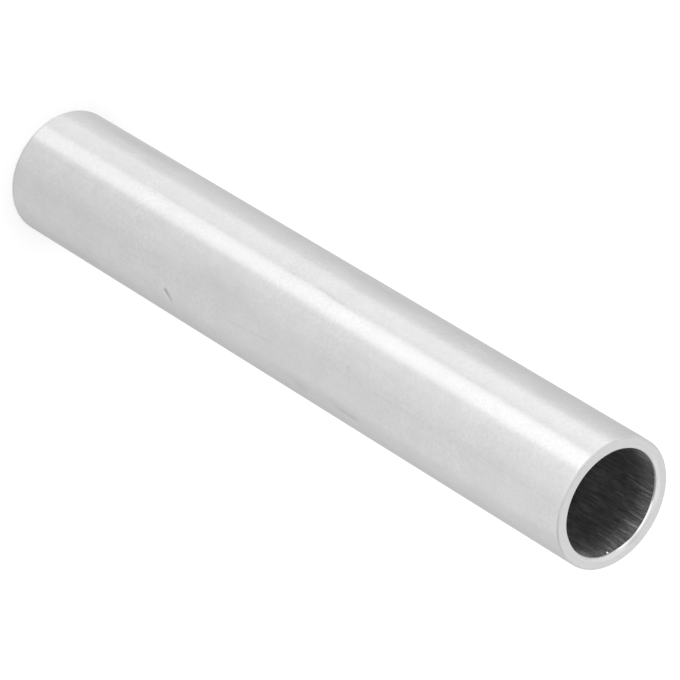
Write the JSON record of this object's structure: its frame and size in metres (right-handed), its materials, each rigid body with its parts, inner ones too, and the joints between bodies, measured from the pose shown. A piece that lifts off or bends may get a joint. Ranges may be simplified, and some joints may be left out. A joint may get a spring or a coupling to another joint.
{
  "type": "spacer sleeve",
  "caption": "Plain round aluminium tube cut square at both ends, with a smooth through bore and deburred edges, used to keep two parts a set distance apart.",
  "frame": {"origin": "on the sleeve's axis, in the plane of the lower end face that it stands on", "axes": "+Z along the bore, from the lower end face to the upper end face; X and Y are any two perpendicular radii, because the sleeve is round"},
  "size_m": [0.016, 0.016, 0.1],
  "materials": {
    "sleeve_aluminium": "mill finish: drawn tube, satin outside with faint cloudy mottling, sawn and deburred ends"
  },
  "bodies": {
    "root": {"sleeve": "sleeve_aluminium"}
  },
  "joints": []
}
